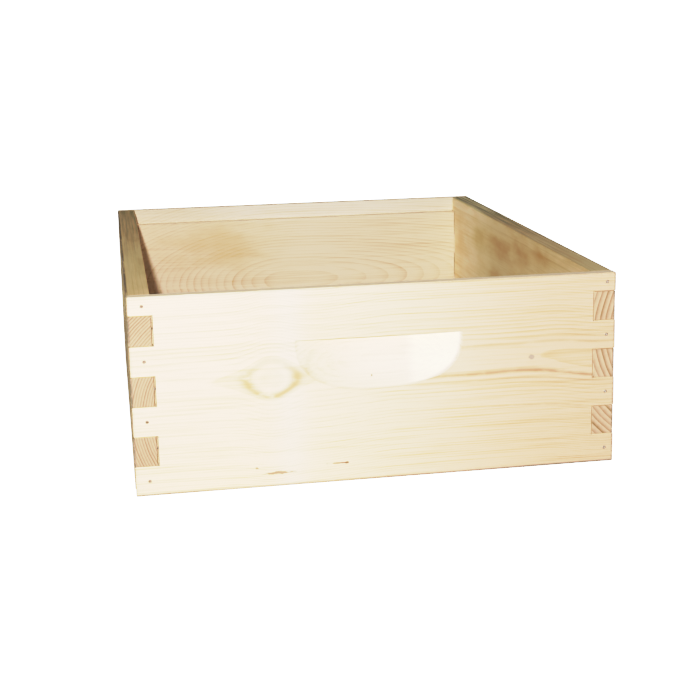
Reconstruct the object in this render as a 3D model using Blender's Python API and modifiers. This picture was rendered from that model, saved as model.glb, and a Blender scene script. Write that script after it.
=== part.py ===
"""Beehive super: a bottomless, topless pine box that holds one layer of hive frames.

Four boards meet in finger joints at the corners and are nailed both ways through the fingers.
The two end boards carry a rabbet along their inside top edge, the ledge that the frames' lugs
hang on. Each board has a milled handhold in its outer face.

Metres, +Z up. The origin is the centre of the box's footprint, on the surface it stands on.
The front end board is at -Y, the rear one at +Y.
"""

from math import cos, pi, sin

import bpy
import bmesh
from mathutils import Matrix, Vector

# ---- driving dimensions ----
WIDTH = 0.41275             # outside, left to right: 16 1/4 in
LENGTH = 0.504825           # outside, front to back: 19 7/8 in
HEIGHT = 0.168275           # 6 5/8 in
STOCK = 0.01905             # board thickness: 3/4 in
FINGER = 0.0254             # height of a finger: 1 in
SIDE_FINGERS = 3            # fingers at each end of a side board

REST_WIDTH = 0.009525       # the ledge for the frames: 3/8 in wide
REST_DROP = 0.015875        # and 5/8 in below the top edge

GAP = 0.0003                # between faces that touch
SLOT_ALLOWANCE = 0.00075    # the end boards' slots are cut this much deeper than the stock
BOARD_SHIFT = 0.000225      # end boards sit this far to +X, side boards as far to -X

GRIP_HALF_WIDTH = 0.0715    # handhold, along its straight top edge
GRIP_DROP = 0.045           # from the top edge to the lowest point of the rim
GRIP_DEPTH = 0.0115         # under the middle of the top edge
GRIP_TOP = 0.1242           # height of the top edge above the base
GRIP_POWER = 2.6            # squareness of the rim and of the bowl: 2 is an ellipse
GRIP_STEPS = 28             # facets along the rim
GRIP_RINGS = 7              # from the middle of the top edge out to past the rim
GRIP_OVERRUN = 1.08         # the last ring, out of the wood

NAIL_LENGTH = 0.057
NAIL_SHANK_RADIUS = 0.0009
NAIL_HEAD_RADIUS = 0.0013
NAIL_HEAD_HEIGHT = 0.0012
NAIL_TAPER = 0.0012         # neck under the head
NAIL_POINT = 0.0030
NAIL_SET = 0.0003           # heads lie this far below the wood
NAIL_SIDES = 8
END_NAIL_INSET = {-1: 0.0118, 1: 0.0076}    # from the outside of the box: left row, right row
SIDE_NAIL_INSET = STOCK / 2

# ---- derived ----
TOP_FINGER = HEIGHT - 2 * SIDE_FINGERS * FINGER
LIP = STOCK - REST_WIDTH
REST_HEIGHT = HEIGHT - REST_DROP
PAST = 0.005                # how far a cutter runs out of the wood

PINE = (0.86, 0.74, 0.53, 1.0)
PINE_ROUGHNESS = 0.6
STEEL = (0.36, 0.31, 0.27, 1.0)
STEEL_ROUGHNESS = 0.45


# ---- scene and small helpers ----

def clear_scene():
    for obj in list(bpy.data.objects):
        bpy.data.objects.remove(obj, do_unlink=True)


def new_collection(name):
    collection = bpy.data.collections.new(name)
    bpy.context.scene.collection.children.link(collection)
    return collection


def principled(name, color, roughness, metallic):
    material = bpy.data.materials.new(name)
    material.use_nodes = True
    shader = material.node_tree.nodes["Principled BSDF"]
    shader.inputs["Base Color"].default_value = color
    shader.inputs["Roughness"].default_value = roughness
    shader.inputs["Metallic"].default_value = metallic
    material.diffuse_color = color
    return material


def add_object(name, mesh, collection, material=None):
    obj = bpy.data.objects.new(name, mesh)
    collection.objects.link(obj)
    if material and not mesh.materials:
        mesh.materials.append(material)
    return obj


def mesh_from(bm, name):
    mesh = bpy.data.meshes.new(name)
    bm.to_mesh(mesh)
    bm.free()
    return mesh


def boxes_mesh(name, boxes):
    """One mesh of separate boxes, each given by its lowest and highest corner."""
    bm = bmesh.new()
    for low, high in boxes:
        low, high = Vector(low), Vector(high)
        place = Matrix.Translation((low + high) / 2) @ Matrix.Diagonal((high - low).to_4d())
        bmesh.ops.create_cube(bm, size=1.0, matrix=place)
    return mesh_from(bm, name)


def add_cutter(name, mesh, collection):
    cutter = add_object(name, mesh, collection)
    cutter.hide_render = True
    cutter.display_type = 'WIRE'
    return cutter


def cut(obj, cutter):
    boolean = obj.modifiers.new(cutter.name, 'BOOLEAN')
    boolean.operation = 'DIFFERENCE'
    boolean.solver = 'EXACT'
    boolean.object = cutter


# ---- heights of the fingers, from the top down ----

def side_finger_span(index):
    """Bottom and top of one side-board finger; an end-board finger lies above each of them."""
    top = HEIGHT - TOP_FINGER - 2 * index * FINGER
    return top - FINGER, top


def end_finger_span(index):
    """Bottom and top of one end-board finger; the first is the short one at the top edge."""
    top = HEIGHT if index == 0 else side_finger_span(index - 1)[0]
    bottom = side_finger_span(index)[1] if index < SIDE_FINGERS else 0.0
    return bottom, top


# ---- boards ----

def end_slots(name, collection):
    """Slots in an end board that take the side boards' fingers, at both of its ends."""
    boxes = []
    for side in (-1, 1):
        outer = side * (WIDTH / 2 + PAST)
        shoulder = side * (WIDTH / 2 - STOCK - SLOT_ALLOWANCE)
        for index in range(SIDE_FINGERS):
            bottom, top = side_finger_span(index)
            low = (min(outer, shoulder), -STOCK, bottom - GAP / 2)
            high = (max(outer, shoulder), STOCK, top + GAP / 2)
            boxes.append((low, high))
    return add_cutter(name, boxes_mesh(name, boxes), collection)


def side_slots(name, collection):
    """Slots in a side board that take the end boards' fingers; the top one is only lip deep."""
    boxes = []
    for end in (-1, 1):
        outer = end * (LENGTH / 2 + PAST)
        for index in range(SIDE_FINGERS + 1):
            bottom, top = end_finger_span(index)
            depth = (LIP if index == 0 else STOCK) + GAP
            shoulder = end * (LENGTH / 2 - depth)
            low_edge = bottom - GAP / 2 if bottom > 0 else -PAST
            high_edge = top + GAP / 2 if top < HEIGHT else HEIGHT + PAST
            low = (-STOCK, min(outer, shoulder), low_edge)
            high = (STOCK, max(outer, shoulder), high_edge)
            boxes.append((low, high))
    return add_cutter(name, boxes_mesh(name, boxes), collection)


def frame_rest(name, collection):
    """The rabbet along an end board's inside top edge; the board's inner face is at +Y."""
    low = (-WIDTH, STOCK / 2 - REST_WIDTH, REST_HEIGHT)
    high = (WIDTH, STOCK / 2 + PAST, HEIGHT + PAST)
    return add_cutter(name, boxes_mesh(name, [(low, high)]), collection)


def handhold(name, collection):
    """The milled scoop, cut into a face at y = 0 from the -Y side, with a flat ceiling.

    Each ring of the sheet is half a superellipse round the middle of the top edge, and the
    depth falls from GRIP_DEPTH there to nothing at the rim, where ring = 1.
    """
    bm = bmesh.new()
    bmesh.ops.create_grid(bm, x_segments=GRIP_STEPS, y_segments=GRIP_RINGS, size=1.0)
    for vert in bm.verts:
        angle = (1 + vert.co.x) / 2 * pi
        ring = (1 + vert.co.y) / 2 * GRIP_OVERRUN
        across = abs(cos(angle)) ** (2 / GRIP_POWER)
        down = abs(sin(angle)) ** (2 / GRIP_POWER)
        if angle > pi / 2:
            across = -across
        vert.co.x = ring * across * GRIP_HALF_WIDTH
        vert.co.y = GRIP_DEPTH * (1 - ring ** GRIP_POWER)
        vert.co.z = GRIP_TOP - ring * down * GRIP_DROP
    bmesh.ops.remove_doubles(bm, verts=bm.verts, dist=0.00001)
    grown = bmesh.ops.extrude_face_region(bm, geom=list(bm.faces))
    for element in grown["geom"]:
        if isinstance(element, bmesh.types.BMVert):
            element.co.y = -PAST
    bmesh.ops.recalc_face_normals(bm, faces=bm.faces)
    return add_cutter(name, mesh_from(bm, name), collection)


def add_board(name, size, location, turn, cutters, parts, material):
    """A board standing on z = 0, its outer face at local -Y or -X, with its cutters along."""
    low = (-size[0] / 2, -size[1] / 2, 0.0)
    high = (size[0] / 2, size[1] / 2, size[2])
    board = add_object(name, boxes_mesh(name, [(low, high)]), parts, material)
    board.location = location
    board.rotation_euler.z = turn
    for cutter in cutters:
        cutter.parent = board
        cut(board, cutter)
    return board


def add_end_board(name, end, parts, cutters, material):
    """An end board, front (end = -1) or rear (end = 1), built facing -Y and then turned."""
    turn = 0.0 if end < 0 else pi
    grip = handhold(name + "_grip", cutters)
    grip.location.y = -STOCK / 2
    slots = end_slots(name + "_slots", cutters)
    rest = frame_rest(name + "_rest", cutters)
    place = (BOARD_SHIFT, end * (LENGTH - STOCK) / 2, 0.0)
    size = (WIDTH, STOCK, HEIGHT)
    return add_board(name, size, place, turn, (slots, rest, grip), parts, material)


def add_side_board(name, side, parts, cutters, material):
    """A side board, left (side = -1) or right (side = 1), built facing -X and then turned."""
    turn = 0.0 if side < 0 else pi
    grip = handhold(name + "_grip", cutters)
    grip.location.x = -STOCK / 2
    grip.rotation_euler.z = -pi / 2
    slots = side_slots(name + "_slots", cutters)
    place = (side * (WIDTH - STOCK) / 2 - BOARD_SHIFT, 0.0, 0.0)
    size = (STOCK, LENGTH, HEIGHT)
    return add_board(name, size, place, turn, (slots, grip), parts, material)


# ---- nails ----

def turned_mesh(name, profile, collection):
    """A solid of revolution about Z, from (radius, z) points that run from top to bottom."""
    bm = bmesh.new()
    verts = [bm.verts.new((radius, 0.0, z)) for radius, z in profile]
    for upper, lower in zip(verts, verts[1:]):
        bm.edges.new((upper, lower))
    outline = add_object(name + "_outline", mesh_from(bm, name + "_outline"), collection)
    screw = outline.modifiers.new("turn", 'SCREW')
    screw.steps = NAIL_SIDES
    screw.render_steps = NAIL_SIDES
    screw.use_merge_vertices = True
    screw.merge_threshold = 0.00001
    graph = bpy.context.evaluated_depsgraph_get()
    mesh = bpy.data.meshes.new_from_object(outline.evaluated_get(graph))
    mesh.name = name
    bpy.data.objects.remove(outline, do_unlink=True)
    return mesh


def nail_mesh(name, collection, room=0.0, rise=0.0):
    """A finish nail whose head top is at z = 0 and whose point is at -NAIL_LENGTH.

    With room and rise it is the hole for one: larger all round, and open past the wood.
    """
    head = NAIL_HEAD_RADIUS + room
    shank = NAIL_SHANK_RADIUS + room
    under = -NAIL_HEAD_HEIGHT - room
    profile = (
        (0.0, rise),
        (head, rise),
        (head, under),
        (shank, under - NAIL_TAPER),
        (shank, -NAIL_LENGTH + NAIL_POINT - room),
        (0.0, -NAIL_LENGTH - room),
    )
    return turned_mesh(name, profile, collection)


def nail_places(side, end):
    """Where one corner's nails go, from the top down: end-board fingers and side-board ones."""
    places = []
    for index in range(SIDE_FINGERS + 1):
        bottom, top = end_finger_span(index)
        x = side * (WIDTH / 2 - END_NAIL_INSET[side])
        y = end * (LENGTH / 2 - NAIL_SET)
        spin = Matrix.Rotation(-end * pi / 2, 4, 'X')
        places.append((bottom, Matrix.Translation((x, y, (bottom + top) / 2)) @ spin))
    for index in range(SIDE_FINGERS):
        bottom, top = side_finger_span(index)
        x = side * (WIDTH / 2 - NAIL_SET) - BOARD_SHIFT
        y = end * (LENGTH / 2 - SIDE_NAIL_INSET)
        spin = Matrix.Rotation(side * pi / 2, 4, 'Y')
        places.append((bottom, Matrix.Translation((x, y, (bottom + top) / 2)) @ spin))
    places.sort(key=lambda place: -place[0])
    return [matrix for _, matrix in places]


def pilot_holes(name, places, hole, collection):
    """One cutter for a corner's nails: a copy of the hole at each place."""
    bm = bmesh.new()
    for matrix in places:
        copy = hole.copy()
        copy.transform(matrix)
        bm.from_mesh(copy)
        bpy.data.meshes.remove(copy)
    return add_cutter(name, mesh_from(bm, name), collection)


def build():
    clear_scene()
    parts = new_collection("beehive_super")
    cutters = new_collection("cutters")
    pine = principled("pine", PINE, PINE_ROUGHNESS, 0.0)
    steel = principled("nail_steel", STEEL, STEEL_ROUGHNESS, 1.0)

    ends = {
        -1: add_end_board("front_board", -1, parts, cutters, pine),
        1: add_end_board("rear_board", 1, parts, cutters, pine),
    }
    sides = {
        -1: add_side_board("left_board", -1, parts, cutters, pine),
        1: add_side_board("right_board", 1, parts, cutters, pine),
    }

    nail = nail_mesh("nail", cutters)
    hole = nail_mesh("nail_hole", cutters, room=GAP, rise=PAST)
    nail.materials.append(steel)
    nail.shade_smooth()
    nail.set_sharp_from_angle(angle=pi / 4)
    for end, end_word in ((-1, "front"), (1, "rear")):
        for side, side_word in ((-1, "left"), (1, "right")):
            corner = end_word + "_" + side_word
            places = nail_places(side, end)
            holes = pilot_holes(corner + "_holes", places, hole, cutters)
            cut(ends[end], holes)
            cut(sides[side], holes)
            for number, matrix in enumerate(places, start=1):
                item = add_object(f"nail_{corner}_{number}", nail, parts)
                item.matrix_world = matrix


build()
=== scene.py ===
"""Looks for the beehive super: four pine boards with eased and chipped edges, and their nails.

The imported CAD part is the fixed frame. Each board and nail here replaces one CAD node, inside
the same box, with finer geometry and a procedural material. Metres, +Z up.
"""

import random
from math import cos, pi, radians, sin

import bmesh
import bpy
from mathutils import Matrix, Vector

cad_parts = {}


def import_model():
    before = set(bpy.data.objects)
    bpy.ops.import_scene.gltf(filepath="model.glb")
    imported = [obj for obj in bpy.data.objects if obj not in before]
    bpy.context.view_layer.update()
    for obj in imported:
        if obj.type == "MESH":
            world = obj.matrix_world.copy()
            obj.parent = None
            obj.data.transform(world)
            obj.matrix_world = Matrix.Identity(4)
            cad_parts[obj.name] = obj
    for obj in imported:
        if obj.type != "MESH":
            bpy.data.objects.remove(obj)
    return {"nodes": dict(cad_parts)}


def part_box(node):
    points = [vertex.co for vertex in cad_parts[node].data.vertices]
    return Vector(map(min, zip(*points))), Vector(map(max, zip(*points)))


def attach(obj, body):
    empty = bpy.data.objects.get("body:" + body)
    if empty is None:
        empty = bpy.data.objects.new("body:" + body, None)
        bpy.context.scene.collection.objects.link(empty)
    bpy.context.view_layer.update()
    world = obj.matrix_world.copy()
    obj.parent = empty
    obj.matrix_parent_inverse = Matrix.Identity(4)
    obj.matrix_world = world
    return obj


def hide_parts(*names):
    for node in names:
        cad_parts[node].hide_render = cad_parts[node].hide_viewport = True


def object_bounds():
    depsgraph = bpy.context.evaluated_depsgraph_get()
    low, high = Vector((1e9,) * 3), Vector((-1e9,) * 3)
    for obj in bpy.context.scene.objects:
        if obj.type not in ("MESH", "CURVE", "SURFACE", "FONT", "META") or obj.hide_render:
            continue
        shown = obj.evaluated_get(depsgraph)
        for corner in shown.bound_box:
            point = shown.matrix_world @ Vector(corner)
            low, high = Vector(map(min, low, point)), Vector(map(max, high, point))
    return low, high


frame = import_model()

cad_low, cad_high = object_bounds()

# ---- the part's own dimensions, the same as in part.py ----
FINGER = 0.0254             # height of a finger
SIDE_FINGERS = 3            # fingers at each end of a side board
REST_WIDTH = 0.009525       # ledge for the frames: width, and drop below the top edge
REST_DROP = 0.015875
GAP = 0.0003                # between faces that touch
SLOT_ALLOWANCE = 0.00075    # the end boards' slots are cut this much deeper than the stock

GRIP_HALF_WIDTH = 0.0715    # handhold, along its straight top edge
GRIP_DROP = 0.045           # from the top edge to the lowest point of the rim
GRIP_DEPTH = 0.0115         # under the middle of the top edge
GRIP_TOP = 0.1242           # height of the top edge above the base
GRIP_POWER = 2.6            # squareness of the rim and of the bowl: 2 is an ellipse

NAIL_LENGTH = 0.057
NAIL_SHANK_RADIUS = 0.0009
NAIL_HEAD_RADIUS = 0.0013
NAIL_HEAD_HEIGHT = 0.0012
NAIL_TAPER = 0.0012
NAIL_POINT = 0.0030

# ---- finer detail that only this script makes ----
GRIP_STEPS = 120            # facets along the handhold's rim
GRIP_RINGS = 30
GRIP_OVERRUN = 1.08         # the last ring, out of the wood
PAST = 0.005                # how far a cutter runs out of the wood
EDGE_ROUND = 0.0005         # eased edges
EDGE_ANGLE = radians(60)    # only edges sharper than this are eased
EDGE_SHORTEST = 0.003       # edges shorter than this, such as the handhold's facets, are left
FLAT_ANGLE = radians(0.1)   # faces closer to one plane than this are joined
WELD = 0.00001              # corners closer than this are joined
BOARD_SHARP = radians(18)   # edges sharper than this aren't shaded smooth
NAIL_SHARP = radians(50)
CHIPS_PER_EDGE = 5
CHIP_PLACE = (0.2, 0.8)     # within its share of the edge
CHIP_LENGTH = (0.003, 0.012)
CHIP_DEPTH = (0.0004, 0.0009)
CHIP_TURN = 0.06            # radians off the grain, either way

NAIL_SIDES = 24
HEAD_ROOM = 0.0001          # round a nail's head, where the wood has closed up
HEAD_OUTLINE = (            # the dimpled head: share of its radius, height
    (0.0, -0.00024),
    (0.32, -0.00021),
    (0.60, -0.00006),
    (0.82, 0.0),
    (0.95, -0.00008),
    (1.0, -0.00026),
    (1.0, -NAIL_HEAD_HEIGHT),
)
GROOVES = 5                 # round the neck, below the head's taper
GROOVE_START = 0.0010
GROOVE_PITCH = 0.0011
GROOVE_WIDTH = 0.0004
GROOVE_SHARE = 0.93         # of the shank's radius

# ---- derived from the frame ----
BOXES = {node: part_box(node) for node in frame["nodes"]}
HEIGHT = cad_high.z
STOCK = BOXES["front_board"][1].y - BOXES["front_board"][0].y
TOP_FINGER = HEIGHT - 2 * SIDE_FINGERS * FINGER
LIP = STOCK - REST_WIDTH
REST_HEIGHT = HEIGHT - REST_DROP


# ---- small helpers for meshes ----

def mesh_from(bm, name):
    mesh = bpy.data.meshes.new(name)
    bm.to_mesh(mesh)
    bm.free()
    return mesh


def add_object(name, data):
    obj = bpy.data.objects.new(name, data)
    bpy.context.scene.collection.objects.link(obj)
    return obj


def add_box(bm, low, high):
    low, high = Vector(low), Vector(high)
    place = Matrix.Translation((low + high) / 2) @ Matrix.Diagonal((high - low).to_4d())
    bmesh.ops.create_cube(bm, size=1.0, matrix=place)


def cut(obj, cutter_mesh):
    """Cuts a closed mesh out of an object, and drops the cutter."""
    cutter = add_object("cutter", cutter_mesh)
    boolean = obj.modifiers.new("cut", 'BOOLEAN')
    boolean.operation = 'DIFFERENCE'
    boolean.solver = 'EXACT'
    boolean.object = cutter
    graph = bpy.context.evaluated_depsgraph_get()
    whole = obj.data
    obj.data = bpy.data.meshes.new_from_object(obj.evaluated_get(graph))
    obj.modifiers.clear()
    bpy.data.meshes.remove(whole)
    bpy.data.objects.remove(cutter, do_unlink=True)
    bpy.data.meshes.remove(cutter_mesh)


# ---- boards ----

def side_finger_span(index):
    """Bottom and top of one side-board finger; an end-board finger lies above each of them."""
    top = HEIGHT - TOP_FINGER - 2 * index * FINGER
    return top - FINGER, top


def end_finger_span(index):
    """Bottom and top of one end-board finger; the first is the short one at the top edge."""
    top = HEIGHT if index == 0 else side_finger_span(index - 1)[0]
    bottom = side_finger_span(index)[1] if index < SIDE_FINGERS else 0.0
    return bottom, top


def is_end_board(node):
    low, high = BOXES[node]
    return high.x - low.x > high.y - low.y


def grain_axis(node):
    """The axis that the board runs along, 0 for X or 1 for Y; its thickness is on the other."""
    return 0 if is_end_board(node) else 1


def outward(node):
    """-1 or 1: the way the board's outer face looks, along the axis of its thickness."""
    low, high = BOXES[node]
    return -1 if (low + high)[1 - grain_axis(node)] < 0 else 1


def outer_face(node):
    """Where the board's outer face lies on the axis of its thickness."""
    low, high = BOXES[node]
    return (high if outward(node) > 0 else low)[1 - grain_axis(node)]


def inner_face(node):
    low, high = BOXES[node]
    return (low if outward(node) > 0 else high)[1 - grain_axis(node)]


def end_board_slots(node, shoulders, y_span):
    """Slots for the side boards' fingers, from each end in to a shoulder, over a span of Y."""
    low, high = BOXES[node]
    bm = bmesh.new()
    for index in range(SIDE_FINGERS):
        bottom, top = side_finger_span(index)
        bottom, top = bottom - GAP / 2, top + GAP / 2
        add_box(bm, (low.x - PAST, y_span[0], bottom), (shoulders[0], y_span[1], top))
        add_box(bm, (shoulders[1], y_span[0], bottom), (high.x + PAST, y_span[1], top))
    return mesh_from(bm, "slots")


def cut_end_board(piece, node):
    """Slots that fit at the inner face and are a little deeper outside, and the frame rest."""
    low, high = BOXES[node]
    past_low, past_high = low.y - PAST, high.y + PAST
    middle = (low.y + high.y) / 2
    tight = (BOXES["left_board"][1].x + GAP, BOXES["right_board"][0].x - GAP)
    deep = (low.x + STOCK + SLOT_ALLOWANCE, high.x - STOCK - SLOT_ALLOWANCE)
    outer_half = (middle, past_high) if outward(node) > 0 else (past_low, middle)
    cut(piece, end_board_slots(node, tight, (past_low, past_high)))
    cut(piece, end_board_slots(node, deep, outer_half))
    inner = inner_face(node)
    ledge = sorted((inner + outward(node) * REST_WIDTH, inner - outward(node) * PAST))
    bm = bmesh.new()
    add_box(bm, (low.x - PAST, ledge[0], REST_HEIGHT), (high.x + PAST, ledge[1], HEIGHT + PAST))
    cut(piece, mesh_from(bm, "rest"))


def side_board_slots(node):
    """Slots for the end boards' fingers; the top one is only as deep as the lip."""
    low, high = BOXES[node]
    bm = bmesh.new()
    for index in range(SIDE_FINGERS + 1):
        bottom, top = end_finger_span(index)
        bottom = bottom - GAP / 2 if bottom > 0 else -PAST
        top = top + GAP / 2 if top < HEIGHT else HEIGHT + PAST
        depth = (LIP if index == 0 else STOCK) + GAP
        add_box(bm, (low.x - PAST, low.y - PAST, bottom), (high.x + PAST, low.y + depth, top))
        add_box(bm, (low.x - PAST, high.y - depth, bottom), (high.x + PAST, high.y + PAST, top))
    return mesh_from(bm, "slots")


def handhold(node):
    """The milled scoop in the outer face, with a flat ceiling.

    Each ring of the sheet is half a superellipse round the middle of the top edge, and the
    depth falls from GRIP_DEPTH there to nothing at the rim, where ring = 1.
    """
    low, high = BOXES[node]
    middle = (low + high) / 2

    def place(along, depth, height):
        across = outer_face(node) - outward(node) * depth
        if is_end_board(node):
            return middle.x + along, across, height
        return across, middle.y + along, height

    bm = bmesh.new()
    bmesh.ops.create_grid(bm, x_segments=GRIP_STEPS, y_segments=GRIP_RINGS, size=1.0)
    for vert in bm.verts:
        angle = (1 + vert.co.x) / 2 * pi
        ring = (1 + vert.co.y) / 2 * GRIP_OVERRUN
        across = abs(cos(angle)) ** (2 / GRIP_POWER)
        down = abs(sin(angle)) ** (2 / GRIP_POWER)
        if angle > pi / 2:
            across = -across
        depth = GRIP_DEPTH * (1 - ring ** GRIP_POWER)
        vert.co = place(ring * across * GRIP_HALF_WIDTH, depth, GRIP_TOP - ring * down * GRIP_DROP)
    bmesh.ops.remove_doubles(bm, verts=bm.verts, dist=WELD)
    grown = bmesh.ops.extrude_face_region(bm, geom=list(bm.faces))
    outside = outer_face(node) + outward(node) * PAST
    for element in grown["geom"]:
        if isinstance(element, bmesh.types.BMVert):
            element.co[1 - grain_axis(node)] = outside
    bmesh.ops.recalc_face_normals(bm, faces=bm.faces)
    return mesh_from(bm, "handhold")


def ease_edges(obj):
    """Rounds the long outside edges, as sanding and handling do."""
    bm = bmesh.new()
    bm.from_mesh(obj.data)
    bmesh.ops.remove_doubles(bm, verts=bm.verts, dist=WELD)
    bmesh.ops.dissolve_limit(bm, angle_limit=FLAT_ANGLE, verts=bm.verts, edges=bm.edges)
    sharp = []
    for edge in bm.edges:
        if len(edge.link_faces) == 2 and edge.calc_length() > EDGE_SHORTEST:
            if edge.calc_face_angle_signed() > EDGE_ANGLE:
                sharp.append(edge)
    bmesh.ops.bevel(bm, geom=sharp, offset=EDGE_ROUND, segments=2, profile=0.5, affect='EDGES',
                    clamp_overlap=False)
    bm.to_mesh(obj.data)
    bm.free()


def chips(node, rng):
    """Cutters for small chips and torn fibres along the board's four long edges."""
    low, high = BOXES[node]
    bm = bmesh.new()
    grain = grain_axis(node)
    thick = 1 - grain
    for corner in range(4):
        edge_thick = (low, high)[corner % 2][thick]
        edge_height = (low, high)[corner // 2].z
        for step in range(CHIPS_PER_EDGE):
            share = (step + rng.uniform(*CHIP_PLACE)) / CHIPS_PER_EDGE
            place = Vector((0.0, 0.0, edge_height))
            place[thick] = edge_thick
            place[grain] = low[grain] + share * (high[grain] - low[grain])
            size = Vector((0.0, 0.0, rng.uniform(*CHIP_DEPTH)))
            size[thick] = rng.uniform(*CHIP_DEPTH)
            size[grain] = rng.uniform(*CHIP_LENGTH) / 2
            turn = Matrix.Rotation(rng.uniform(-CHIP_TURN, CHIP_TURN), 4, 'Z')
            matrix = Matrix.Translation(place) @ turn @ Matrix.Diagonal(size.to_4d())
            bmesh.ops.create_icosphere(bm, subdivisions=2, radius=1.0, matrix=matrix)
    return mesh_from(bm, "chips")


def finish_mesh(mesh, sharp_angle):
    """Clears the slivers that cutting leaves, and shades smooth up to an angle."""
    bm = bmesh.new()
    bm.from_mesh(mesh)
    bmesh.ops.remove_doubles(bm, verts=bm.verts, dist=WELD / 2)
    bmesh.ops.dissolve_degenerate(bm, dist=WELD / 5, edges=bm.edges)
    bmesh.ops.recalc_face_normals(bm, faces=bm.faces)
    bm.to_mesh(mesh)
    bm.free()
    mesh.shade_smooth()
    mesh.set_sharp_from_angle(angle=sharp_angle)


def board(node, seed, material):
    """One detailed board in place of a CAD board."""
    low, high = BOXES[node]
    bm = bmesh.new()
    add_box(bm, low, high)
    piece = add_object(node + "_pine", mesh_from(bm, node + "_pine"))
    if is_end_board(node):
        cut_end_board(piece, node)
    else:
        cut(piece, side_board_slots(node))
    cut(piece, handhold(node))
    ease_edges(piece)
    cut(piece, chips(node, random.Random(seed)))
    cut(piece, nail_holes(node))
    finish_mesh(piece.data, BOARD_SHARP)
    piece.data.materials.clear()
    piece.data.materials.append(material)
    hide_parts(node)
    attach(piece, "root")


# ---- nails ----

def add_turned(bm, profile, matrix):
    """Adds a solid of revolution about Z, from (radius, z) points that run top to bottom."""
    rings = []
    for radius, z in profile:
        if radius == 0.0:
            rings.append([bm.verts.new(matrix @ Vector((0.0, 0.0, z)))])
            continue
        ring = []
        for step in range(NAIL_SIDES):
            angle = 2 * pi * step / NAIL_SIDES
            ring.append(bm.verts.new(matrix @ Vector((radius * cos(angle), radius * sin(angle), z))))
        rings.append(ring)
    for upper, lower in zip(rings, rings[1:]):
        for step in range(NAIL_SIDES):
            after = (step + 1) % NAIL_SIDES
            if len(upper) == 1:
                bm.faces.new((upper[0], lower[step], lower[after]))
            elif len(lower) == 1:
                bm.faces.new((upper[after], upper[step], lower[0]))
            else:
                bm.faces.new((upper[after], upper[step], lower[step], lower[after]))


def nail_matrix(node):
    """Turns a nail that points down from the origin into the place that its CAD box shows."""
    low, high = BOXES[node]
    middle = (low + high) / 2
    if high.y - low.y > high.x - low.x:
        outer = -1 if middle.y < 0 else 1
        head = Vector((middle.x, low.y if outer < 0 else high.y, middle.z))
        return Matrix.Translation(head) @ Matrix.Rotation(-outer * pi / 2, 4, 'X')
    outer = -1 if middle.x < 0 else 1
    head = Vector((low.x if outer < 0 else high.x, middle.y, middle.z))
    return Matrix.Translation(head) @ Matrix.Rotation(outer * pi / 2, 4, 'Y')


NAILS = sorted(name for name in frame["nodes"] if name.startswith("nail_"))


def touches(node, nail):
    """Whether a nail's box reaches into a board's box."""
    low, high = BOXES[node]
    nail_low, nail_high = BOXES[nail]
    return all(nail_low[i] < high[i] and nail_high[i] > low[i] for i in range(3))


def nail_holes(node):
    """One cutter for all of a board's nail holes, open past the wood."""
    head = NAIL_HEAD_RADIUS + HEAD_ROOM
    shank = NAIL_SHANK_RADIUS + GAP
    under = -NAIL_HEAD_HEIGHT - GAP
    profile = (
        (0.0, PAST),
        (head, PAST),
        (head, under),
        (shank, under - NAIL_TAPER),
        (shank, -NAIL_LENGTH + NAIL_POINT - GAP),
        (0.0, -NAIL_LENGTH - GAP),
    )
    bm = bmesh.new()
    for nail in NAILS:
        if touches(node, nail):
            add_turned(bm, profile, nail_matrix(nail))
    return mesh_from(bm, "nail_holes")


def nail_profile():
    """Half outline of a finish nail: a dimpled head, a grooved neck, a shank and a point."""
    shank = NAIL_SHANK_RADIUS
    neck = -NAIL_HEAD_HEIGHT - NAIL_TAPER
    profile = [(share * NAIL_HEAD_RADIUS, height) for share, height in HEAD_OUTLINE]
    profile.append((shank, neck))
    for groove in range(GROOVES):
        top = neck - GROOVE_START - groove * GROOVE_PITCH
        profile.append((shank, top))
        profile.append((shank * GROOVE_SHARE, top - GROOVE_WIDTH / 2))
        profile.append((shank, top - GROOVE_WIDTH))
    profile.append((shank, -NAIL_LENGTH + NAIL_POINT))
    profile.append((0.0, -NAIL_LENGTH))
    return profile


def nail(node, material):
    """One detailed nail in place of a CAD nail."""
    bm = bmesh.new()
    add_turned(bm, nail_profile(), nail_matrix(node))
    name = node.replace("nail_", "finish_nail_")
    piece = add_object(name, mesh_from(bm, name))
    finish_mesh(piece.data, NAIL_SHARP)
    piece.data.materials.append(material)
    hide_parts(node)
    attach(piece, "root")


# ---- arithmetic on node sockets ----

def plug(tree, value, slot):
    """Links a field to an input, or sets the input to a plain value."""
    if isinstance(value, Field):
        tree.links.new(value.socket, slot)
    else:
        slot.default_value = value


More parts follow.
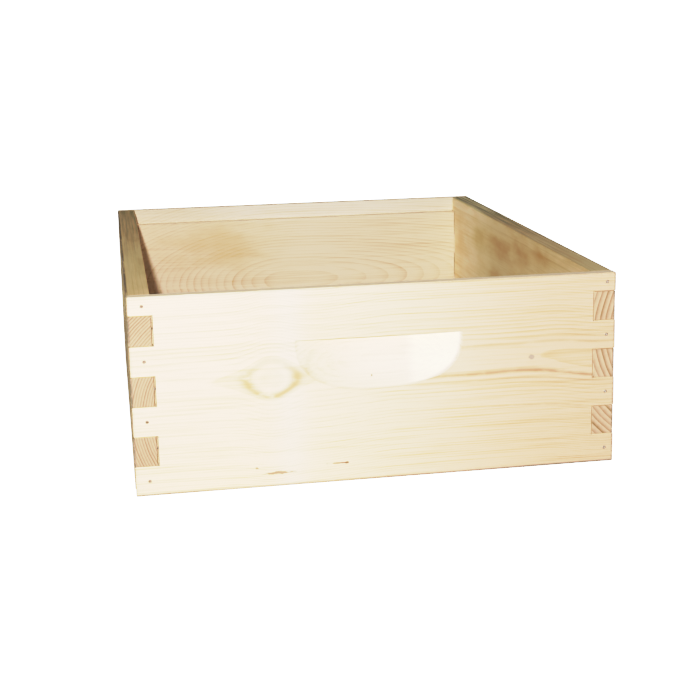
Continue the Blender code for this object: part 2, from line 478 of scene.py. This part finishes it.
class Field:
    """A value that varies over a surface: a node's output that can be used in arithmetic."""

    def __init__(self, tree, socket):
        self.tree = tree
        self.socket = socket

    def math(self, operation, *others):
        node = self.tree.nodes.new("ShaderNodeMath")
        node.operation = operation
        for slot, value in zip(node.inputs, (self,) + others):
            plug(self.tree, value, slot)
        return Field(self.tree, node.outputs[0])

    def __add__(self, other):
        return self.math('ADD', other)

    def __sub__(self, other):
        return self.math('SUBTRACT', other)

    def __mul__(self, other):
        return self.math('MULTIPLY', other)

    def __truediv__(self, other):
        return self.math('DIVIDE', other)

    def __neg__(self):
        return self * -1.0

    __radd__ = __add__

    def __rsub__(self, other):
        return -self + other

    def squared(self):
        return self * self

    def root(self):
        return self.math('SQRT')

    def size(self):
        return self.math('ABSOLUTE')

    def floor(self):
        return self.math('FLOOR')

    def fraction(self):
        return self.math('FRACT')

    def power(self, exponent):
        return self.math('POWER', exponent)

    def least(self, other):
        return self.math('MINIMUM', other)

    def most(self, other):
        return self.math('MAXIMUM', other)

    def smooth(self, low, high):
        """0 below low and 1 above high, with an eased step between; low may be the higher."""
        node = self.tree.nodes.new("ShaderNodeMapRange")
        node.interpolation_type = 'SMOOTHSTEP'
        plug(self.tree, self, node.inputs["Value"])
        node.inputs["From Min"].default_value = low
        node.inputs["From Max"].default_value = high
        return Field(self.tree, node.outputs["Result"])

    def hill(self, centre, width):
        """1 at the centre, falling off as a bell curve."""
        return (-((self - centre) / width).squared()).math('EXPONENT')


def join(x, y, z):
    """A vector from three fields."""
    node = x.tree.nodes.new("ShaderNodeCombineXYZ")
    for slot, value in zip(node.inputs, (x, y, z)):
        plug(x.tree, value, slot)
    return Field(x.tree, node.outputs[0])


def split(tree, socket):
    """Three fields from a vector."""
    node = tree.nodes.new("ShaderNodeSeparateXYZ")
    tree.links.new(socket, node.inputs[0])
    return [Field(tree, output) for output in node.outputs]


def noise(vector, octaves):
    """Soft noise from 0 to 1; the vector is already in cycles."""
    node = vector.tree.nodes.new("ShaderNodeTexNoise")
    plug(vector.tree, vector, node.inputs["Vector"])
    node.inputs["Scale"].default_value = 1.0
    node.inputs["Detail"].default_value = octaves
    return Field(vector.tree, node.outputs["Fac"])


def shuffled(value):
    """A different number from 0 to 1 for each whole number."""
    node = value.tree.nodes.new("ShaderNodeTexWhiteNoise")
    node.noise_dimensions = '1D'
    plug(value.tree, value, node.inputs["W"])
    return Field(value.tree, node.outputs["Value"])


def mix(factor, first, second):
    """Colour between two colours, each a field or (red, green, blue)."""
    node = factor.tree.nodes.new("ShaderNodeMix")
    node.data_type = 'RGBA'
    plug(factor.tree, factor, node.inputs[0])
    for slot, colour in ((node.inputs[6], first), (node.inputs[7], second)):
        if not isinstance(colour, Field):
            colour = (*colour, 1.0)
        plug(factor.tree, colour, slot)
    return Field(factor.tree, node.outputs[2])


def product(first, second):
    """The product of two colours."""
    node = first.tree.nodes.new("ShaderNodeMix")
    node.data_type = 'RGBA'
    node.blend_type = 'MULTIPLY'
    node.inputs[0].default_value = 1.0
    plug(first.tree, first, node.inputs[6])
    plug(first.tree, second, node.inputs[7])
    return Field(first.tree, node.outputs[2])


def new_material(name):
    material = bpy.data.materials.new(name)
    material.use_nodes = True
    tree = material.node_tree
    return material, tree, tree.nodes["Principled BSDF"]


def bump(shader, height, distance):
    """Relief from a height field that runs from 0 to about 1, distance metres high."""
    tree = height.tree
    node = tree.nodes.new("ShaderNodeBump")
    node.inputs["Distance"].default_value = distance
    tree.links.new(height.socket, node.inputs["Height"])
    tree.links.new(node.outputs["Normal"], shader.inputs["Normal"])


# ---- pine ----

EARLY_WOOD = (0.80, 0.615, 0.415)
LATE_WOOD = (0.54, 0.35, 0.145)
# fresh wood; also the colour of painted light on upward faces and in the handhold
FRESH_WOOD_AND_LIGHT = (1.0, 0.86, 0.62)
MILLED = (0.78, 0.75, 0.65)
DARK_RING = (0.38, 0.24, 0.11)
AMBER = (0.60, 0.42, 0.17)
END_GRAIN = (0.455, 0.325, 0.225)
END_LATE = (0.24, 0.145, 0.072)
KNOT = (0.29, 0.25, 0.22)
STAIN = (0.22, 0.13, 0.075)
# dust with painted shade on upward faces, and the painted shadow under the handhold's lip
DUST_AND_SHADE = (0.30, 0.25, 0.10)
# worn edges, and painted shade at the foot, in the finger slots and at the end boards' right ends
WEAR_AND_SHADE = (0.17, 0.135, 0.10)

# Noises drawn out along the grain: length of a cycle along it and across it, and octaves.
SLOW_WANDER = (0.21, 0.045, 2.0)        # these two bend the growth rings
QUICK_WANDER = (0.035, 0.009, 2.0)
DARK_RING_PATCH = (0.014, 0.008, 3.0)
LATE_PATCH = (0.16, 0.03, 2.0)
FIBRE = (0.030, 0.0006, 3.0)
THREAD = (0.080, 0.0017, 2.0)
STREAK = (0.110, 0.0028, 3.0)
BLOTCH = (0.130, 0.035, 2.0)
RESIN_CANAL = (0.006, 0.0005, 1.0)
MOTTLE = (0.050, 0.016, 5.0)
AMBER_CLOUD = (0.034, 0.012, 4.0)
TORN_FIBRE = (0.005, 0.0012, 3.0)
DUST_STREAK = (0.120, 0.0026, 3.0)
WORN_PATCH = (0.030, 0.003, 3.0)

SEED_SHIFT = 7.31           # cycles of noise from one seed to the next
SLOW_SHIFT = 0.0030         # how far the two wanders move a ring
QUICK_SHIFT = 0.0005
APEX_BLEND = 0.03           # half the stretch over which the closing rate changes
KNOT_REACH = 1.8            # how far rings bend round a knot, in knots
KNOT_BEND = 0.5             # and by how many rings
RING_END_BLEND = 0.015      # half the stretch over which a dark ring fades out
BELOW_PITH = (0.014, 0.002)     # heights over the pith between which dark rings grow darker
GRIP_BOTTOM = (0.0135, 0.0125)  # depths past the deepest of the handhold
GRIP_RIM = (0.0002, 0.0016)     # depths at which its rim's fresh wood begins
REBATE_FACE = (0.30, 0.45)      # values of inner_side() where the rest's milled wood begins

# How much each part of the figure counts in the mix from early wood to late wood.
LATE_WEIGHT = 0.70
STREAK_WEIGHT = 0.50
THREAD_WEIGHT = 0.75
FIBRE_WEIGHT = 0.40
BLOTCH_WEIGHT = 0.40
CANAL_WEIGHT = 0.15
REBATE_WEIGHT = 0.22

ROUGHNESS = 0.50
END_ROUGHNESS = 0.16        # added on end grain
FIBRE_ROUGHNESS = 0.16
LATE_ROUGHNESS = -0.06
RELIEF = 0.00012


class Log:
    """How one board was cut from its tree, in its own axes: along, across and height."""

    def __init__(self, pith, ring_width, seed, **extras):
        self.pith = pith                    # (across, height) of the log's centre line
        self.ring_width = ring_width
        self.seed = seed                    # shifts the noise, so no two boards match
        self.apex = extras.get("apex", 0.0)             # where along it the rings close
        self.closing = extras.get("closing", (0.0, 0.0))    # how fast, before and after it
        self.sway = extras.get("sway", ())              # (from, to, shift of the pith's height)
        self.swell = extras.get("swell", ())            # (centre, width, change of radius)
        self.creep = extras.get("creep", ())            # (from, to, change of radius)
        self.dark_rings = extras.get("dark_rings", ())  # (radius, width, strength, from, to)
        self.knots = extras.get("knots", ())    # (along, height, half length, half height, depth)
        self.stains = extras.get("stains", ())  # the same, for brown marks
        self.amber = extras.get("amber", ())    # the same, for soft yellow-brown patches
        self.amber_tint = extras.get("amber_tint", AMBER)
        self.mottle = extras.get("mottle")      # (colour, strength) of random patches
        self.dust_and_shade = extras.get("dust_and_shade", 0.0)     # dust with painted shade, on the faces that look up
        self.top_light = extras.get("top_light", 0.0)     # painted light: how far those faces are lighter instead
        self.polished = extras.get("polished", ())      # (along, half width, strength) of bands
        self.grip_brightness = extras.get("grip_brightness", 0.70)  # how fresh the handhold's wood looks, with its painted highlight
        self.worn = extras.get("worn", 0.15)    # darkening of the outer face's edges
        self.contrast = extras.get("contrast", 1.0)     # of rings, streaks and fibres
        self.calm = extras.get("calm", ())      # (along, height, half length, half height)
        self.end_tone = extras.get("end_tone", 1.0)     # brightness of the end grain
        self.fade = extras.get("fade")          # (from, to, tint before, tint after) along the board; painted light and shade on the front and rear boards


class Spot:
    """The point being shaded, in its board's own axes, with the noises that follow the grain."""

    def __init__(self, tree, node, log):
        coordinates = tree.nodes.new("ShaderNodeTexCoord")
        geometry = tree.nodes.new("ShaderNodeNewGeometry")
        *place, self.height = split(tree, coordinates.outputs["Object"])
        *normal, self.upward = split(tree, geometry.outputs["Normal"])
        grain = grain_axis(node)
        self.shift = log.seed * SEED_SHIFT
        self.along = place[grain]
        self.across = place[1 - grain]
        self.end = normal[grain].size().smooth(0.35, 0.85)      # 1 on end grain
        self.fibre = self.noise(FIBRE)
        self.thread = self.noise(THREAD)
        self.streak = self.noise(STREAK)
        self.blotch = self.noise(BLOTCH)

    def noise(self, kind):
        """Noise drawn out along the grain, of one of the kinds above."""
        cycle_along, cycle_across, octaves = kind
        along = self.along / cycle_along + self.shift
        place = join(along, self.across / cycle_across, self.height / cycle_across)
        return noise(place, octaves)

    def oval(self, along, height, half_length, half_height):
        """Distance from a point of the face, where 1 is an oval round it."""
        away = ((self.along - along) / half_length).squared()
        return (away + ((self.height - height) / half_height).squared()).root()


def radius_in_log(spot, log):
    """Distance from the pith, with the wander that real growth rings have."""
    centre = spot.height - log.pith[1]
    for start, end, shift in log.sway:
        centre = centre - spot.along.smooth(start, end) * shift
    squares = (spot.across - log.pith[0]).squared() + centre.squared()
    if log.closing != (0.0, 0.0):
        before, after = log.closing
        past_apex = spot.along.smooth(log.apex - APEX_BLEND, log.apex + APEX_BLEND)
        rate = past_apex * (after - before) + before
        squares = squares + ((spot.along - log.apex) * rate).squared()
    radius = squares.root()
    for place, width, change in log.swell:
        radius = radius + spot.along.hill(place, width) * change
    for start, end, change in log.creep:
        radius = radius + spot.along.smooth(start, end) * change
    for place, level, half_length, half_height, _ in log.knots:
        away = spot.oval(place, level, half_length * KNOT_REACH, half_height * KNOT_REACH)
        radius = radius + away.hill(0.0, 1.0) * (log.ring_width * KNOT_BEND)
    slow = spot.noise(SLOW_WANDER)
    quick = spot.noise(QUICK_WANDER)
    return radius + (slow - 0.5) * SLOW_SHIFT + (quick - 0.5) * QUICK_SHIFT


class Rings:
    """The growth rings at a spot."""

    def __init__(self, spot, log):
        self.radius = radius_in_log(spot, log)
        count = self.radius / log.ring_width
        self.phase = count.fraction()       # 0 where a ring starts, 1 where it ends
        self.strength = shuffled(count.floor() + log.seed) * 0.7 + 0.3
        late = self.phase.power(3.0) * self.phase.smooth(1.0, 0.93) * self.strength
        late = late * (spot.noise(LATE_PATCH) * 1.1 + 0.35)
        for place in log.calm:
            late = late * spot.oval(*place).smooth(0.5, 1.1)
        self.late = late                    # how much late wood shows on a flat face


def dark_rings(spot, log, radius, colour):
    """The few growth rings that stand out, each over one stretch and darker below the pith."""
    uneven = spot.noise(DARK_RING_PATCH).smooth(0.15, 0.55)
    over, under = BELOW_PITH
    below = spot.height.smooth(log.pith[1] + over, log.pith[1] + under) * 0.6 + 0.4
    for distance, width, strength, start, finish in log.dark_rings:
        band = radius.hill(distance, width) * strength * uneven * below
        band = band * spot.along.smooth(start - RING_END_BLEND, start + RING_END_BLEND)
        band = band * spot.along.smooth(finish + RING_END_BLEND, finish - RING_END_BLEND)
        colour = mix(band, colour, DARK_RING)
    return colour


def inner_side(spot, node):
    """1 at the board's inner face, 0 at its outer face."""
    return spot.across.smooth(outer_face(node), inner_face(node))


def scooped(spot, node):
    """1 inside the board's handhold, where the cutter has laid fresh wood open."""
    depth = (spot.across - outer_face(node)) * -outward(node)
    inside = depth.smooth(*GRIP_RIM) * depth.smooth(*GRIP_BOTTOM)
    inside = inside * spot.along.size().smooth(GRIP_HALF_WIDTH + 0.002, GRIP_HALF_WIDTH + 0.001)
    return inside * spot.height.smooth(GRIP_TOP + 0.0006, GRIP_TOP + 0.0003)


def slot_shade(spot, node):
    """1 on the floors of an end board's finger slots, for painted shade deep in the joints' gaps."""
    shoulder = BOXES[node][1].x - STOCK - SLOT_ALLOWANCE
    at_floor = (spot.along.size() - shoulder).size().smooth(0.0006, 0.0004)
    return at_floor * (spot.across - outer_face(node)).size().smooth(0.0001, 0.0004) * spot.end


def grip_lip_shade(spot, node):
    """Painted shadow along the handhold's top edge, just under its lip, darkest at the left."""
    at_face = (spot.across - outer_face(node)).size().smooth(0.0010, 0.0004)
    within = spot.along.size().smooth(GRIP_HALF_WIDTH, GRIP_HALF_WIDTH - 0.002)
    return at_face * within * (spot.along.smooth(0.05, -0.07) * 0.45 + 0.10)


def edge_distance(spot, node):
    """The middle one of three distances: to the board's end, outer face, and top or bottom.

    At a point of one of those faces, the smallest of the three is 0, and the middle one is how
    far the nearest edge is.
    """
    low, high = BOXES[node]
    grain = grain_axis(node)
    to_end = (spot.along - low[grain]).least(high[grain] - spot.along)
    to_face = (spot.across - outer_face(node)).size()
    to_rim = spot.height.least(HEIGHT - spot.height)
    nearest = to_end.least(to_face).least(to_rim)
    farthest = to_end.most(to_face).most(to_rim)
    return to_end + to_face + to_rim - nearest - farthest


def figure(spot, rings, log, fresh):
    """How far the wood is from early to late colour: rings, streaks, threads and fibres."""
    shade = rings.late * (fresh * -0.6 + 1.0) * LATE_WEIGHT + (spot.streak - 0.5) * STREAK_WEIGHT
    shade = shade + (spot.thread - 0.5) * THREAD_WEIGHT + (spot.fibre - 0.5) * FIBRE_WEIGHT
    return shade * log.contrast + (spot.blotch - 0.5) * BLOTCH_WEIGHT


def patches(spot, node, log, colour):
    """Random mottling, mostly on the inner face, and the amber patches that have a place."""
    if log.mottle:
        tint, depth = log.mottle
        cloud = spot.noise(MOTTLE).smooth(0.40, 0.66)
        colour = mix(cloud * depth * (inner_side(spot, node) * 0.6 + 0.4), colour, tint)
    cloudy = spot.noise(AMBER_CLOUD)
    for place, level, half_length, half_height, depth in log.amber:
        away = spot.oval(place, level, half_length, half_height) + (cloudy - 0.5) * 2.0
        colour = mix(away.most(0.0).hill(0.0, 0.85) * depth, colour, log.amber_tint)
    return colour


def flat_colour(spot, node, log, rings, shade, fresh):
    """The wood's colour on faces along the grain, with the handhold and the frame rest; a tint along
    the board that holds painted light, and the handhold's painted highlight.
    """
    canal = spot.noise(RESIN_CANAL).smooth(0.72, 0.78)
    colour = mix(shade + canal * CANAL_WEIGHT, EARLY_WOOD, LATE_WOOD)
    for place, half_width, depth in log.polished:
        colour = mix(spot.along.hill(place, half_width) * depth, colour, MILLED)
    colour = dark_rings(spot, log, rings.radius, colour)
    colour = patches(spot, node, log, colour)
    if is_end_board(node):
        rebate = spot.height.smooth(REST_HEIGHT - 0.0002, REST_HEIGHT + 0.0002)
        rebate = rebate * inner_side(spot, node).smooth(*REBATE_FACE)
        colour = mix(rebate * REBATE_WEIGHT, colour, MILLED)
    # a tint along the board; on the front and rear boards it paints light and shade
    if log.fade:
        start, finish, before, after = log.fade
        colour = product(colour, mix(spot.along.smooth(start, finish), before, after))
    # partly fresh wood, mostly a painted highlight that grows towards the handhold's right end
    grip_highlight = spot.along.smooth(-0.07, 0.02) * 0.4 + spot.along.smooth(0.022, 0.034) * 0.4
    return mix(fresh * (grip_highlight + 0.15) * (shade * -0.5 + 1.0) * log.grip_brightness, colour, FRESH_WOOD_AND_LIGHT)


def end_colour(spot, log, rings):
    """The wood's colour on end grain, where the rings show as dark lines."""
    late = rings.phase.power(2.2) * rings.phase.smooth(1.0, 0.86) * (rings.strength + 0.4) * 1.1
    shade = late + (spot.blotch - 0.5) * 0.5 + (spot.streak - 0.5) * 0.35
    early = [value * log.end_tone for value in END_GRAIN]
    return mix(shade, early, END_LATE)


def marks(spot, log, colour):
    """Knots and stains, with ragged edges."""
    ragged = spot.noise(TORN_FIBRE)
    for tint, places in ((KNOT, log.knots), (STAIN, log.stains)):
        for place, level, half_length, half_height, depth in places:
            away = spot.oval(place, level, half_length, half_height)
            mark = (away + (ragged - 0.5) * 2.2).smooth(1.2, 0.6)
            colour = mix(mark * depth, colour, tint)
    return colour


def edge_wear_and_shade(spot, node, log):
    """How dark handling has made the outer face's edges, with painted shade at the end boards' right
    ends and in the finger slots.
    """
    amount = edge_distance(spot, node).smooth(0.0022, 0.0008)
    amount = amount * spot.noise(WORN_PATCH).smooth(0.20, 0.60)
    if not is_end_board(node):
        return amount * log.worn
    end = BOXES[node][1].x
    # painted shade: a dark line along the end board's right end
    amount = amount * (spot.along.smooth(end - 0.0030, end - 0.0015) * 0.5 + log.worn)
    return amount.most(slot_shade(spot, node) * 0.9)


def dirt_and_light(spot, node, log, colour):
    """Upward faces painted lighter, and darkened by dust with painted shade; a painted shadow under
    the handhold's lip; worn edges; painted shade along the foot.
    """
    facing_up = spot.upward.smooth(0.6, 0.95)
    # dust with painted shade on upward faces, heavier towards the rear end
    dust_and_shade = facing_up * (spot.noise(DUST_STREAK) * 4.0 - 1.5)
    dust_and_shade = dust_and_shade * (spot.along.smooth(-0.25, 0.25) * 1.2 + 0.1)
    # painted shadow: a thin dark line just under the handhold's lip
    lip_shadow = spot.height.hill(GRIP_TOP, 0.0006) * grip_lip_shade(spot, node)
    # painted light: upward faces made lighter, towards fresh wood's colour
    colour = mix(facing_up * log.top_light, colour, FRESH_WOOD_AND_LIGHT)
    colour = mix((dust_and_shade * log.dust_and_shade).most(lip_shadow), colour, DUST_AND_SHADE)
    # painted shade: darker within a few millimetres of the bottom, where the boards meet the floor
    foot_shade = spot.height.smooth(0.0024, 0.0010) * (spot.streak + 0.15)
    return mix(foot_shade.most(edge_wear_and_shade(spot, node, log)), colour, WEAR_AND_SHADE)


def pine(node, log):
    """Pine by the same rule in all four boards: rings, fibres, end grain, knots and marks."""
    material, tree, shader = new_material(node + "_pine")
    spot = Spot(tree, node, log)
    rings = Rings(spot, log)
    fresh = scooped(spot, node)
    shade = figure(spot, rings, log, fresh)
    colour = flat_colour(spot, node, log, rings, shade, fresh)
    colour = mix(spot.end, colour, end_colour(spot, log, rings))
    colour = marks(spot, log, colour)
    colour = dirt_and_light(spot, node, log, colour)
    tree.links.new(colour.socket, shader.inputs["Base Color"])

    rough = ROUGHNESS + (spot.fibre - 0.5) * FIBRE_ROUGHNESS
    rough = rough + rings.late * LATE_ROUGHNESS + spot.end * END_ROUGHNESS
    tree.links.new(rough.socket, shader.inputs["Roughness"])
    relief = spot.fibre * 0.45 + spot.streak * 0.35 + rings.late * 0.35
    bump(shader, relief + spot.end * spot.fibre * 0.6, RELIEF)
    return material


def front_log():
    """Flat sawn, pith behind it: one closed ring at left, flame lines and a pin knot at right."""
    outer = outer_face("front_board")
    return Log(
        pith=(outer + 0.045, 0.093), ring_width=0.0018, seed=3,
        sway=((-0.060, 0.020, 0.0055), (0.145, 0.200, -0.005)),
        swell=((-0.091, 0.020, -0.0037),),
        creep=((0.11, 0.19, -0.001),),
        dark_rings=(
            (0.04362, 0.00085, 0.80, -0.125, -0.055),
            (0.0414, 0.00060, 0.16, -0.125, -0.055),
            (0.04657, 0.00042, 0.62, 0.030, 0.200),
            (0.0485, 0.00040, 0.25, 0.030, 0.200),
            (0.0615, 0.00030, 0.40, 0.085, 0.180),
        ),
        knots=((0.132, 0.098, 0.0024, 0.0021, 0.75),),
        stains=(
            (-0.106, 0.017, 0.0014, 0.0010, 0.7),
            (-0.087, 0.012, 0.012, 0.0012, 0.75),
            (-0.037, 0.0165, 0.009, 0.0006, 0.8),
            (-0.0295, 0.0162, 0.0018, 0.0010, 0.9),
            (-0.006, 0.090, 0.0009, 0.0009, 0.9),
        ),
        calm=((-0.091, 0.093, 0.022, 0.017),),
        polished=((-0.076, 0.014, 0.22),),
        # painted light: lighter at the left and darker at the right, as the flash falls off; top
        # edge painted lighter
        fade=(-0.15, 0.17, (1.10, 1.09, 1.09), (0.765, 0.70, 0.725)),
        contrast=1.25, top_light=0.9, grip_brightness=1.0,
    )


def rear_log():
    """Flat sawn, its rings closing to the left of the middle: nested ovals on the inner face."""
    inner = inner_face("rear_board")
    return Log(
        pith=(inner - 0.030, 0.080), ring_width=0.0027, seed=11,
        apex=-0.012, closing=(0.40, 0.19),
        amber=((-0.095, 0.125, 0.060, 0.030, 0.60),),
        # painted shade: darker towards the left end, bluer towards the right; top edges painted
        # lighter
        fade=(-0.20, 0.0, (0.91, 0.93, 1.02), (1.02, 1.08, 1.22)),
        contrast=1.2, top_light=0.9, grip_brightness=0.5,
    )


def left_log():
    """Its pith inside the hive, below the middle of the board's height; mottled, and dusty with
    painted shade on its top edge.
    """
    outer = outer_face("left_board")
    return Log(
        pith=(outer + 0.0865, 0.063), ring_width=0.0022, seed=23,
        mottle=((0.52, 0.36, 0.16), 0.35),
        fade=(-0.25, 0.25, (1.16, 1.16, 1.02), (1.10, 1.10, 0.94)),
        dust_and_shade=0.42, worn=0.8,
    )


def right_log():
    """Its pith outside the hive, above the middle of the board's height; amber in patches."""
    outer = outer_face("right_board")
    return Log(
        pith=(outer + 0.0705, 0.118), ring_width=0.0047, seed=37,
        mottle=((0.56, 0.31, 0.105), 0.22),
        amber_tint=(0.53, 0.315, 0.11),
        amber=(
            (0.205, 0.120, 0.016, 0.035, 0.20),
            (0.125, 0.138, 0.034, 0.013, 0.55),
            (0.040, 0.142, 0.045, 0.011, 0.65),
            (-0.032, 0.148, 0.034, 0.010, 0.70),
            (-0.105, 0.157, 0.040, 0.008, 0.70),
            (0.040, 0.103, 0.040, 0.013, 0.55),
        ),
        fade=(0.02, 0.18, (1.00, 1.03, 0.97), (1.30, 1.50, 1.54)),
        # dust with painted shade on the top edge
        dust_and_shade=0.75, worn=0.8, end_tone=1.15,
    )


# ---- steel ----

BRIGHT_STEEL = (0.52, 0.47, 0.40)
RUSTED_STEEL = (0.27, 0.185, 0.13)
RUST_SPECK = 2600.0         # noise cycles per metre
RUST_PATCH = 700.0
RUST_EDGE = (0.36, 0.52)
STEEL_RELIEF = 0.00004


def nail_steel():
    """Bright wire nails, gone brown where the heads have met wet wood; rustier at the left."""
    material, tree, shader = new_material("nail_steel_worn")
    coordinates = tree.nodes.new("ShaderNodeTexCoord")
    x, y, z = split(tree, coordinates.outputs["Object"])
    specks = noise(join(x * RUST_SPECK, y * RUST_SPECK, z * RUST_SPECK), 3.0)
    blots = noise(join(x * RUST_PATCH, y * RUST_PATCH, z * RUST_PATCH), 2.0)
    rust = (specks * 0.5 + blots * 0.5 - x.smooth(-0.05, 0.05) * 0.10).smooth(*RUST_EDGE)
    colour = mix(rust, BRIGHT_STEEL, RUSTED_STEEL)
    tree.links.new(colour.socket, shader.inputs["Base Color"])
    tree.links.new((0.35 + rust * 0.35).socket, shader.inputs["Roughness"])
    tree.links.new((0.80 - rust * 0.6).socket, shader.inputs["Metallic"])
    bump(shader, specks, STEEL_RELIEF)
    return material


# ---- studio ----

CAMERA_PLACE = Vector((-0.2155, -1.3613, 0.3957))
CAMERA_YAW = radians(10.367)        # to the right of +Y
CAMERA_PITCH = radians(12.009)      # downwards
CAMERA_ROLL = radians(-0.923)
CAMERA_LENS = 71.67
CAMERA_SHIFT = (-0.0200, -0.0714)

FLASH_PLACE = (-0.262, -1.36, 0.45)
FLASH_SIZE = 0.025
FLASH_POWER = 19.5
FILL_LIGHTS = (     # name, place, width, height, power
    ("right_fill", (1.60, 0.10, 0.30), 1.2, 0.5, 12.0),
    ("back_fill", (0.10, 1.70, 0.30), 1.2, 0.5, 12.0),
    ("top_fill", (0.0, -0.15, 0.80), 0.3, 0.3, 0.55),
)
FILL = 0.13             # strength of the light from all round
BACKDROP = 3.0          # strength of the backdrop, as the camera sees it
WHITE = (1.0, 1.0, 1.0, 1.0)
FLOOR_HALF = 6.0
FLOOR_COLOUR = (0.85, 0.85, 0.84, 1.0)
FLOOR_ROUGHNESS = 0.9
FLOOR_GLOW = 2.6        # as the camera sees it; the floor gives the boards no light of its own

COMBINED_CURVE = 3      # after the curves of red, green and blue
WHITE_LEVEL = 2.3       # light that shows as white
TONES = (               # light, and how bright it shows
    (0.0, 0.0),
    (0.15, 0.10),
    (0.38, 0.38),
    (0.80, 0.77),
    (1.4, 0.90),
    (WHITE_LEVEL, 1.0),
)


def camera():
    data = bpy.data.cameras.new("photo_view")
    data.lens = CAMERA_LENS
    data.shift_x, data.shift_y = CAMERA_SHIFT
    obj = add_object("photo_view", data)
    turn = Matrix.Rotation(-CAMERA_YAW, 4, 'Z')
    tilt = Matrix.Rotation(pi / 2 - CAMERA_PITCH, 4, 'X')
    roll = Matrix.Rotation(CAMERA_ROLL, 4, 'Z')
    obj.matrix_world = Matrix.Translation(CAMERA_PLACE) @ turn @ tilt @ roll
    bpy.context.scene.camera = obj


def area_light(name, place, width, height, power):
    """A rectangular light that looks at the middle of the box."""
    data = bpy.data.lights.new(name, 'AREA')
    data.shape = 'RECTANGLE'
    data.size = width
    data.size_y = height
    data.energy = power
    obj = add_object(name, data)
    obj.location = place
    target = (cad_low + cad_high) / 2
    obj.rotation_euler = (target - Vector(place)).to_track_quat('-Z', 'Y').to_euler()
    return obj


def lights():
    """A small flash above the camera, to its left, and fills that leave no highlights."""
    area_light("flash", FLASH_PLACE, FLASH_SIZE, FLASH_SIZE, FLASH_POWER)
    for settings in FILL_LIGHTS:
        area_light(*settings).visible_glossy = False


def world():
    """Soft light from all round, in front of a backdrop that looks white."""
    studio = bpy.data.worlds.new("studio")
    studio.use_nodes = True
    tree = studio.node_tree
    background = tree.nodes["Background"]
    path = tree.nodes.new("ShaderNodeLightPath")
    strength = Field(tree, path.outputs["Is Camera Ray"]) * (BACKDROP - FILL) + FILL
    tree.links.new(strength.socket, background.inputs["Strength"])
    background.inputs["Color"].default_value = WHITE
    bpy.context.scene.world = studio


def floor():
    """White ground that shows as pure white, with no shadow."""
    bm = bmesh.new()
    bmesh.ops.create_grid(bm, x_segments=1, y_segments=1, size=FLOOR_HALF)
    obj = add_object("floor", mesh_from(bm, "floor"))
    material, tree, shader = new_material("white_floor")
    shader.inputs["Base Color"].default_value = FLOOR_COLOUR
    shader.inputs["Roughness"].default_value = FLOOR_ROUGHNESS
    shader.inputs["Emission Color"].default_value = WHITE
    path = tree.nodes.new("ShaderNodeLightPath")
    glow = Field(tree, path.outputs["Is Camera Ray"]) * FLOOR_GLOW
    tree.links.new(glow.socket, shader.inputs["Emission Strength"])
    obj.data.materials.append(material)


def camera_response():
    """A flash snapshot's tones: deep shade, a bright middle and a long soft shoulder."""
    view = bpy.context.scene.view_settings
    view.view_transform = 'Standard'
    view.use_curve_mapping = True
    mapping = view.curve_mapping
    mapping.white_level = (WHITE_LEVEL, WHITE_LEVEL, WHITE_LEVEL)
    points = mapping.curves[COMBINED_CURVE].points
    while len(points) < len(TONES):
        points.new(1.0, 1.0)
    for point, (light, shown) in zip(points, TONES):
        point.location = (light / WHITE_LEVEL, shown)
    mapping.update()


# ---- the whole ----

def build():
    camera()
    lights()
    world()
    floor()
    camera_response()
    logs = {
        "front_board": front_log(),
        "rear_board": rear_log(),
        "left_board": left_log(),
        "right_board": right_log(),
    }
    for node, log in logs.items():
        board(node, log.seed, pine(node, log))
    steel = nail_steel()
    for node in NAILS:
        nail(node, steel)


build()
